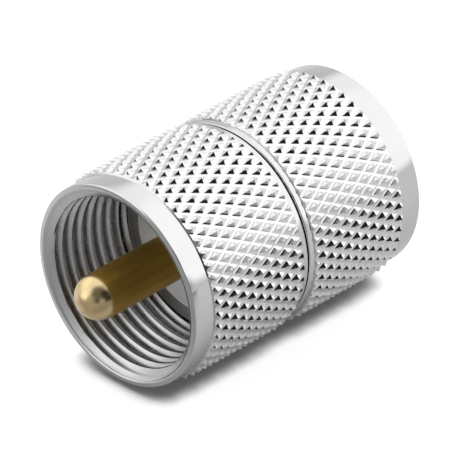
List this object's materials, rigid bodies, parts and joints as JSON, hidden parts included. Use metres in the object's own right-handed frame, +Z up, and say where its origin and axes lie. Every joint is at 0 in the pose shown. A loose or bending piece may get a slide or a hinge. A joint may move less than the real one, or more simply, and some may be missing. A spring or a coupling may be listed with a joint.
{
  "type": "uhf double male coaxial adapter",
  "caption": "Coaxial adapter with a knurled, internally threaded coupling nut at each end, each turning freely round a body that carries one through contact with ball-nosed pins.",
  "frame": {"origin": "on the floor under the middle of the adapter, which lies on its side on both nuts", "axes": "X along the adapter's axis with the front mouth towards -X, +Z up"},
  "size_m": [0.0332, 0.018, 0.018],
  "materials": {
    "bright_nickel": "bright nickel plate on brass",
    "body_nickel": "nickel plate on brass, turned",
    "ptfe": "turned white fluoropolymer",
    "gold_plate": "gold plate on brass, polished"
  },
  "bodies": {
    "core": {"front_body_shell": "body_nickel", "rear_body_shell": "body_nickel", "front_insulator": "ptfe", "rear_insulator": "ptfe", "center_contact": "gold_plate"},
    "front_nut": {"front_coupling_nut": "bright_nickel"},
    "rear_nut": {"rear_coupling_nut": "bright_nickel"}
  },
  "joints": [
    {"name": "front_nut_spin", "type": "hinge", "parent": "core", "child": "front_nut", "pos_m": [-0.0064, 0, 0.009], "axis": [-1, 0, 0], "continuous": true},
    {"name": "rear_nut_spin", "type": "hinge", "parent": "core", "child": "rear_nut", "pos_m": [0.0064, 0, 0.009], "axis": [1, 0, 0], "continuous": true}
  ]
}
